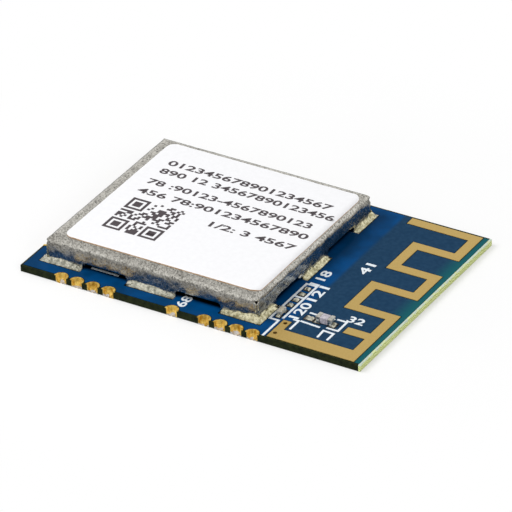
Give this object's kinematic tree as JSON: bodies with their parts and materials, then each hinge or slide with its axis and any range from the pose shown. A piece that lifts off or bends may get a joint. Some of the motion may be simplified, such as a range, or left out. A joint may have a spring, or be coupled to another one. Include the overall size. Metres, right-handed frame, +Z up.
{
  "type": "wifi module",
  "caption": "Flat wireless circuit module with a soldered metal can, castellated edge contacts and a folded board antenna at one end.",
  "frame": {"origin": "centre of the module's outline, in the plane of its solder contacts", "axes": "+X along the board towards the antenna end, +Y to the back edge, +Z up from the contacts to the can"},
  "size_m": [0.0218, 0.0148, 0.0021],
  "materials": {
    "laminate": "glass-fibre laminate with routed edges",
    "blue_mask": "glossy blue solder mask",
    "plated_copper": "matte gold plate over copper",
    "contact_gold": "bright gold plate over copper",
    "white_ink": "printed white ink",
    "tinned_sheet": "tinned steel sheet, rolled and bent",
    "solder": "reflowed solder",
    "label_film": "matte white film",
    "dark_ink": "thermal print",
    "capacitor_ceramic": "fired ceramic",
    "link_ceramic": "pale fired ceramic",
    "tinned_terminal": "matte tin plate",
    "chip_resin": "moulded epoxy",
    "dark_ceramic": "fired ceramic base",
    "lid_metal": "satin metal lid",
    "ferrite": "pressed ferrite",
    "resistor_glaze": "black glass glaze",
    "filter_ceramic": "pale fired ceramic"
  },
  "bodies": {
    "root": {"board": "laminate", "top_mask": "blue_mask", "bottom_mask": "blue_mask", "antenna_trace": "plated_copper", "front_contacts": "contact_gold", "back_contacts": "contact_gold", "end_contacts": "contact_gold", "ground_paddle": "contact_gold", "shield_lands": "plated_copper", "tinned_lands": "solder", "silkscreen": "white_ink", "shield_can": "tinned_sheet", "shield_solder": "solder", "label": "label_film", "label_print": "dark_ink", "matching_capacitor": "capacitor_ceramic", "matching_terminals": "tinned_terminal", "link_resistor": "link_ceramic", "link_terminals": "tinned_terminal", "outer_solder": "solder", "radio_chip": "chip_resin", "chip_terminals": "tinned_terminal", "crystal_base": "dark_ceramic", "crystal_lid": "lid_metal", "crystal_terminals": "plated_copper", "power_inductor": "ferrite", "inductor_terminals": "tinned_terminal", "decoupling_capacitors": "capacitor_ceramic", "capacitor_terminals": "tinned_terminal", "small_resistors": "resistor_glaze", "resistor_terminals": "tinned_terminal", "rf_filter": "filter_ceramic", "filter_terminals": "tinned_terminal", "inner_lands": "plated_copper", "inner_solder": "solder"}
  },
  "joints": []
}
